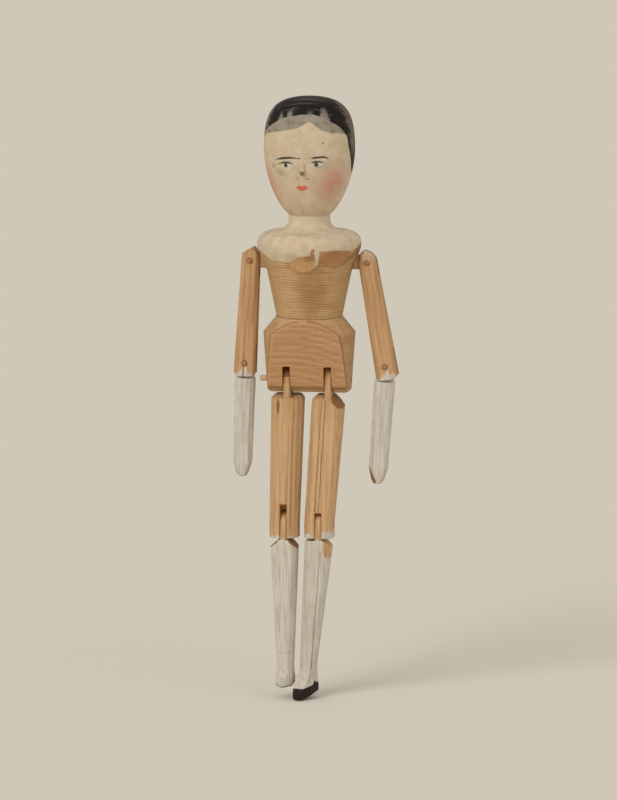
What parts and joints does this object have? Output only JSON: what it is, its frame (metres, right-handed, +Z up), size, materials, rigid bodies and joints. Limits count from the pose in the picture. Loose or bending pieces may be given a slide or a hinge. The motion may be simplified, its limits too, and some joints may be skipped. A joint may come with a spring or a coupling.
{
  "type": "jointed wooden doll",
  "caption": "Turned wooden doll with an egg-shaped head, flared bodice and hip block in one piece, and whittled arms and legs on wooden pegs that swing and bend.",
  "frame": {"origin": "on the turning axis at the narrowest part of the waist", "axes": "+Z up through the crown, the face looks along -Y, +X is the doll's own left"},
  "size_m": [0.0844, 0.0528, 0.3063],
  "materials": {
    "body_wood": "worn bare wood below, chalky cream ground and black hair paint above",
    "nose_paint": "cream paint on wood",
    "arm_wood": "bare whittled wood",
    "leg_wood": "bare whittled wood",
    "peg_wood": "bare wood",
    "limb_paint": "worn white paint on wood"
  },
  "bodies": {
    "trunk": {"head_and_torso": "body_wood", "nose": "nose_paint", "hip_pin": "peg_wood"},
    "shoulder_rod": {"shoulder_rod": "arm_wood"},
    "right_upper_arm": {"right_upper_arm": "arm_wood", "right_shoulder_pin": "peg_wood", "right_elbow_pin": "peg_wood"},
    "right_forearm": {"right_forearm": "limb_paint"},
    "right_thigh": {"right_thigh": "leg_wood", "right_knee_pin": "peg_wood"},
    "right_lower_leg": {"right_lower_leg": "limb_paint"},
    "left_upper_arm": {"left_upper_arm": "arm_wood", "left_shoulder_pin": "peg_wood", "left_elbow_pin": "peg_wood"},
    "left_forearm": {"left_forearm": "limb_paint"},
    "left_thigh": {"left_thigh": "leg_wood", "left_knee_pin": "peg_wood"},
    "left_lower_leg": {"left_lower_leg": "limb_paint"}
  },
  "joints": [
    {"name": "arms_swing", "type": "hinge", "parent": "trunk", "child": "shoulder_rod", "pos_m": [0, 0, 0.0275], "axis": [-1, 0, 0], "range_deg": [-115, 115]},
    {"name": "right_arm_spread", "type": "hinge", "parent": "shoulder_rod", "child": "right_upper_arm", "pos_m": [-0.02977, 0, 0.0275], "axis": [0, 1, 0], "range_deg": [-1.5, 10]},
    {"name": "right_elbow", "type": "hinge", "parent": "right_upper_arm", "child": "right_forearm", "pos_m": [-0.0326, 0, -0.02462], "axis": [0, 1, 0], "range_deg": [-8, 95]},
    {"name": "right_hip", "type": "hinge", "parent": "trunk", "child": "right_thigh", "pos_m": [-0.0105, -0.002, -0.0321], "axis": [-1, 0, 0], "range_deg": [-9, 90]},
    {"name": "right_knee", "type": "hinge", "parent": "right_thigh", "child": "right_lower_leg", "pos_m": [-0.0124, -0.002, -0.1064], "axis": [1, 0, 0], "range_deg": [-5, 95]},
    {"name": "left_arm_spread", "type": "hinge", "parent": "shoulder_rod", "child": "left_upper_arm", "pos_m": [0.02977, 0, 0.0275], "axis": [0, -1, 0], "range_deg": [-7, 3.5]},
    {"name": "left_elbow", "type": "hinge", "parent": "left_upper_arm", "child": "left_forearm", "pos_m": [0.039, 0, -0.0252], "axis": [0, -1, 0], "range_deg": [-8, 95]},
    {"name": "left_hip", "type": "hinge", "parent": "trunk", "child": "left_thigh", "pos_m": [0.0105, -0.002, -0.0321], "axis": [-1, 0, 0], "range_deg": [-9, 90]},
    {"name": "left_knee", "type": "hinge", "parent": "left_thigh", "child": "left_lower_leg", "pos_m": [0.0054, -0.002, -0.1064], "axis": [1, 0, 0], "range_deg": [-5, 95]}
  ]
}
